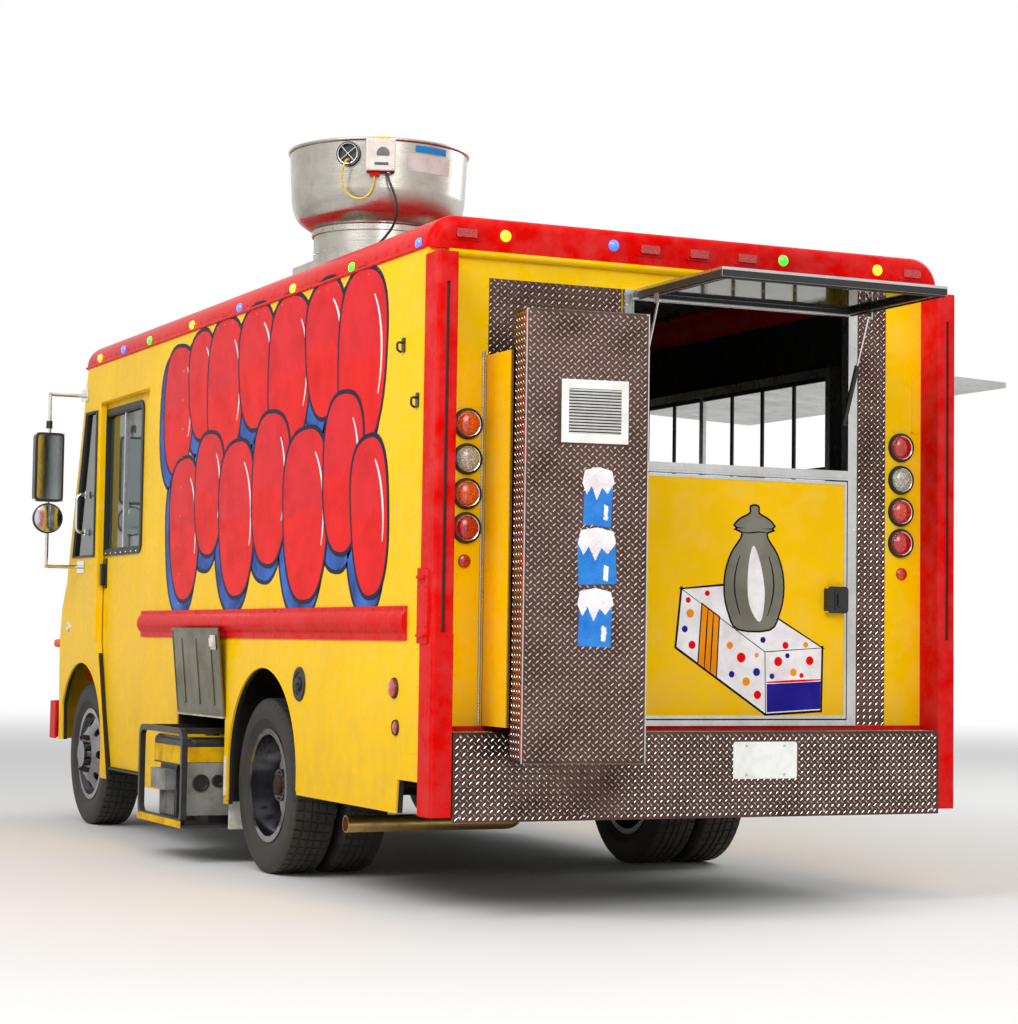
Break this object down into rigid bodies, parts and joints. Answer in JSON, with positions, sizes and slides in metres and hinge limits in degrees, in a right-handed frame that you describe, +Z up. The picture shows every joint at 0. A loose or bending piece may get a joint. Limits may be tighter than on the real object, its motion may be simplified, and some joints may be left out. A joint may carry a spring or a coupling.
{
  "type": "food truck",
  "caption": "Walk-in food truck with a roof fan, a curb-side serving hatch, an open rear window hatch, a vented rear locker and a pulled-out generator.",
  "frame": {"origin": "on the ground under the middle of the rear axle", "axes": "+Z up, the truck faces -Y, its driver's side is +X"},
  "size_m": [3.6645, 6.6873, 3.4499],
  "materials": {
    "body_yellow": "gloss",
    "roof_red": "gloss",
    "rail_red": "gloss",
    "black_paint": "satin",
    "tread_plate": "embossed",
    "bright_metal": "brushed",
    "stainless": "brushed",
    "chrome": "polished",
    "frame_black": "matt",
    "iron": "rough",
    "steel_rim": "satin",
    "tyre": "matt",
    "glass": "clear",
    "dark_glass": "tinted",
    "lamp_red": "gloss",
    "lamp_clear": "gloss",
    "plastic_black": "matt",
    "cable_yellow": "satin",
    "door_yellow": "satin"
  },
  "bodies": {
    "body": {"chassis_frame": "frame_black", "engine": "iron", "front_axle": "iron", "rear_axle": "iron", "exhaust": "iron", "fuel_tank": "frame_black", "floor": "bright_metal", "side_wall_left": "body_yellow", "side_wall_right": "body_yellow", "nose": "body_yellow", "cab_glass": "glass", "headlamps": "lamp_clear", "front_bumper": "rail_red", "roof": "roof_red", "rear_wall": "body_yellow", "rear_posts": "rail_red", "rear_bumper": "tread_plate", "lamps": "lamp_red", "rub_rails": "rail_red", "mirrors": "chrome", "door_frame": "bright_metal", "serving_window": "bright_metal", "locker": "tread_plate", "roof_fan": "bright_metal", "cab_fittings": "plastic_black", "kitchen": "stainless", "fan_cable": "plastic_black", "fan_loop_cable": "cable_yellow"},
    "knuckle_left": {"knuckle_left": "iron"},
    "knuckle_right": {"knuckle_right": "iron"},
    "wheel_front_left": {"tyre_front_left": "tyre", "rim_front_left": "steel_rim"},
    "wheel_front_right": {"tyre_front_right": "tyre", "rim_front_right": "steel_rim"},
    "wheels_rear_left": {"tyres_rear_left": "tyre", "rims_rear_left": "steel_rim"},
    "wheels_rear_right": {"tyres_rear_right": "tyre", "rims_rear_right": "steel_rim"},
    "cab_door_left": {"cab_door_left": "body_yellow", "door_glass_left": "glass"},
    "cab_door_right": {"cab_door_right": "body_yellow", "door_glass_right": "glass"},
    "rear_door": {"rear_door": "door_yellow"},
    "rear_hatch": {"rear_hatch": "bright_metal", "hatch_glass": "dark_glass"},
    "hatch_strut_tubes": {"hatch_strut_tubes": "black_paint"},
    "hatch_strut_rods": {"hatch_strut_rods": "chrome"},
    "serving_hatch": {"serving_hatch": "stainless"},
    "serving_strut_tubes": {"serving_strut_tubes": "black_paint"},
    "serving_strut_rods": {"serving_strut_rods": "chrome"},
    "locker_side": {"locker_side": "body_yellow"},
    "locker_door": {"locker_door": "tread_plate"},
    "generator_flap": {"generator_flap": "bright_metal"},
    "generator": {"generator": "black_paint"}
  },
  "joints": [
    {"name": "steer_left", "type": "hinge", "parent": "body", "child": "knuckle_left", "pos_m": [0.93, -3.125, 0.4055], "axis": [0, 0, 1], "range_deg": [-35, 35]},
    {"name": "steer_right", "type": "hinge", "parent": "body", "child": "knuckle_right", "pos_m": [-0.93, -3.125, 0.4055], "axis": [0, 0, 1], "range_deg": [-35, 35]},
    {"name": "spin_front_left", "type": "hinge", "parent": "knuckle_left", "child": "wheel_front_left", "pos_m": [1.0675, -3.125, 0.4055], "axis": [1, 0, 0], "continuous": true},
    {"name": "spin_front_right", "type": "hinge", "parent": "knuckle_right", "child": "wheel_front_right", "pos_m": [-1.0675, -3.125, 0.4055], "axis": [1, 0, 0], "continuous": true},
    {"name": "spin_rear_left", "type": "hinge", "parent": "body", "child": "wheels_rear_left", "pos_m": [1.0675, 0, 0.4055], "axis": [1, 0, 0], "continuous": true},
    {"name": "spin_rear_right", "type": "hinge", "parent": "body", "child": "wheels_rear_right", "pos_m": [-1.0675, 0, 0.4055], "axis": [1, 0, 0], "continuous": true},
    {"name": "cab_door_left_slide", "type": "slide", "parent": "body", "child": "cab_door_left", "axis": [0, 1, 0], "range_m": [0, 0.56]},
    {"name": "cab_door_right_slide", "type": "slide", "parent": "body", "child": "cab_door_right", "axis": [0, 1, 0], "range_m": [0, 0.56]},
    {"name": "rear_door_hinge", "type": "hinge", "parent": "body", "child": "rear_door", "pos_m": [0.2968, 1.96, 1.2855], "axis": [0, 0, -1], "range_deg": [0, 90]},
    {"name": "rear_hatch_hinge", "type": "hinge", "parent": "body", "child": "rear_hatch", "pos_m": [-0.2245, 1.968, 2.508], "axis": [1, 0, 0], "range_deg": [-90, 0]},
    {"name": "hatch_strut_swing", "type": "hinge", "parent": "body", "child": "hatch_strut_tubes", "pos_m": [-0.2245, 1.95, 2.038], "axis": [1, 0, 0], "range_deg": [-1, 26]},
    {"name": "hatch_strut_slide", "type": "slide", "parent": "hatch_strut_tubes", "child": "hatch_strut_rods", "axis": [0, 0.3914, 0.9202], "range_m": [-0.19, 0.002]},
    {"name": "serving_hatch_hinge", "type": "hinge", "parent": "body", "child": "serving_hatch", "pos_m": [-1.229, -0.064, 2.39], "axis": [0, 1, 0], "range_deg": [-87.5, 0]},
    {"name": "serving_strut_swing", "type": "hinge", "parent": "body", "child": "serving_strut_tubes", "pos_m": [-1.202, -0.064, 1.83], "axis": [0, 1, 0], "range_deg": [-1, 25]},
    {"name": "serving_strut_slide", "type": "slide", "parent": "serving_strut_tubes", "child": "serving_strut_rods", "axis": [-0.3953, 0, 0.9186], "range_m": [-0.22, 0.002]},
    {"name": "locker_side_hinge", "type": "hinge", "parent": "body", "child": "locker_side", "pos_m": [0.949, 1.94, 1.4925], "axis": [0, 0, -1], "range_deg": [0, 35]},
    {"name": "locker_door_hinge", "type": "hinge", "parent": "body", "child": "locker_door", "pos_m": [0.949, 2.189, 1.4925], "axis": [0, 0, -1], "range_deg": [-8, 85]},
    {"name": "generator_flap_hinge", "type": "hinge", "parent": "body", "child": "generator_flap", "pos_m": [1.224, -0.877, 0.702], "axis": [0, 1, 0], "range_deg": [0, 83]},
    {"name": "generator_drawer", "type": "slide", "parent": "body", "child": "generator", "axis": [1, 0, 0], "range_m": [-0.27, 0.15]}
  ],
  "couplings": [
    {"joint": "steer_right", "follows": "steer_left", "ratio": 1},
    {"joint": "hatch_strut_swing", "follows": "rear_hatch_hinge", "ratio": -0.27724},
    {"joint": "hatch_strut_slide", "follows": "rear_hatch_hinge", "m_per_rad": 0.11469},
    {"joint": "serving_strut_swing", "follows": "serving_hatch_hinge", "ratio": -0.26611},
    {"joint": "serving_strut_slide", "follows": "serving_hatch_hinge", "m_per_rad": 0.13803}
  ]
}
